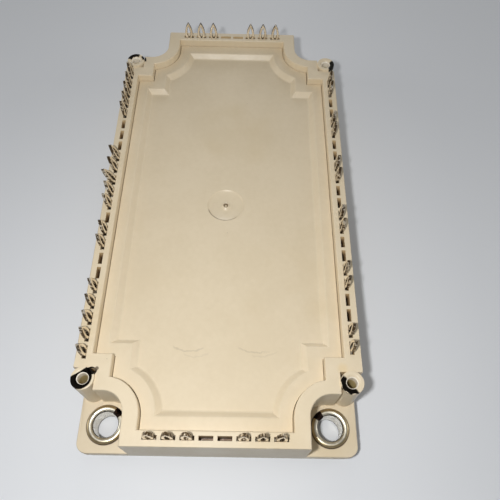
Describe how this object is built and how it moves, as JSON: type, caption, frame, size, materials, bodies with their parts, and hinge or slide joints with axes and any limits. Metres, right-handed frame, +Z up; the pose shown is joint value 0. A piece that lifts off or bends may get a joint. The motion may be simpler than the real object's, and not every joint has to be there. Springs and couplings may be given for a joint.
{
  "type": "igbt module",
  "caption": "Flat power semiconductor module with a moulded frame, a dished lid, press-fit needle-eye pins round its rim and four bushed screw holes.",
  "frame": {"origin": "middle of the underside of the base plate, on the surface the module rests on", "axes": "+Z up through the lid, +Y along the module's length away from the viewer, +X to the right across the width"},
  "size_m": [0.0625, 0.122, 0.0214],
  "materials": {
    "base_metal": "satin",
    "cream_plastic": "satin",
    "gel": "gloss",
    "bush_metal": "polished",
    "pin_metal": "polished",
    "solder": "satin",
    "copper": "satin",
    "ceramic": "satin",
    "aluminium_wire": "satin",
    "black_ceramic": "matte",
    "silicon": "gloss"
  },
  "bodies": {
    "root": {"baseplate": "base_metal", "housing_frame": "cream_plastic", "lid": "cream_plastic", "silicone_gel": "gel", "mounting_bush_front_left": "bush_metal", "mounting_bush_front_right": "bush_metal", "mounting_bush_back_left": "bush_metal", "mounting_bush_back_right": "bush_metal", "substrate_solder_front": "solder", "substrate_solder_middle": "solder", "substrate_solder_back": "solder", "substrate_lower_copper_front": "copper", "substrate_lower_copper_middle": "copper", "substrate_lower_copper_back": "copper", "substrate_ceramic_front": "ceramic", "substrate_ceramic_middle": "ceramic", "substrate_ceramic_back": "ceramic", "substrate_tracks_front": "copper", "substrate_tracks_middle": "copper", "substrate_tracks_back": "copper", "rectifier_diode_1": "silicon", "rectifier_diode_2": "silicon", "rectifier_diode_3": "silicon", "rectifier_diode_4": "silicon", "rectifier_diode_5": "silicon", "rectifier_diode_6": "silicon", "brake_transistor": "silicon", "brake_diode": "silicon", "thermistor": "black_ceramic", "inverter_transistor_1": "silicon", "inverter_transistor_2": "silicon", "inverter_transistor_3": "silicon", "inverter_transistor_4": "silicon", "inverter_transistor_5": "silicon", "inverter_transistor_6": "silicon", "inverter_diode_1": "silicon", "inverter_diode_2": "silicon", "inverter_diode_3": "silicon", "inverter_diode_4": "silicon", "inverter_diode_5": "silicon", "inverter_diode_6": "silicon", "bond_wires_front": "aluminium_wire", "bond_wires_middle": "aluminium_wire", "bond_wires_back": "aluminium_wire", "pins_front_left": "pin_metal", "pins_front_right": "pin_metal", "pins_back_left": "pin_metal", "pins_back_right": "pin_metal", "pins_left_side_1": "pin_metal", "pins_left_side_2": "pin_metal", "pins_left_side_3": "pin_metal", "pins_left_side_4": "pin_metal", "pins_right_side_1": "pin_metal", "pins_right_side_2": "pin_metal", "pins_right_side_3": "pin_metal", "pins_right_side_4": "pin_metal", "pins_right_side_5": "pin_metal", "pins_right_side_6": "pin_metal"}
  },
  "joints": []
}
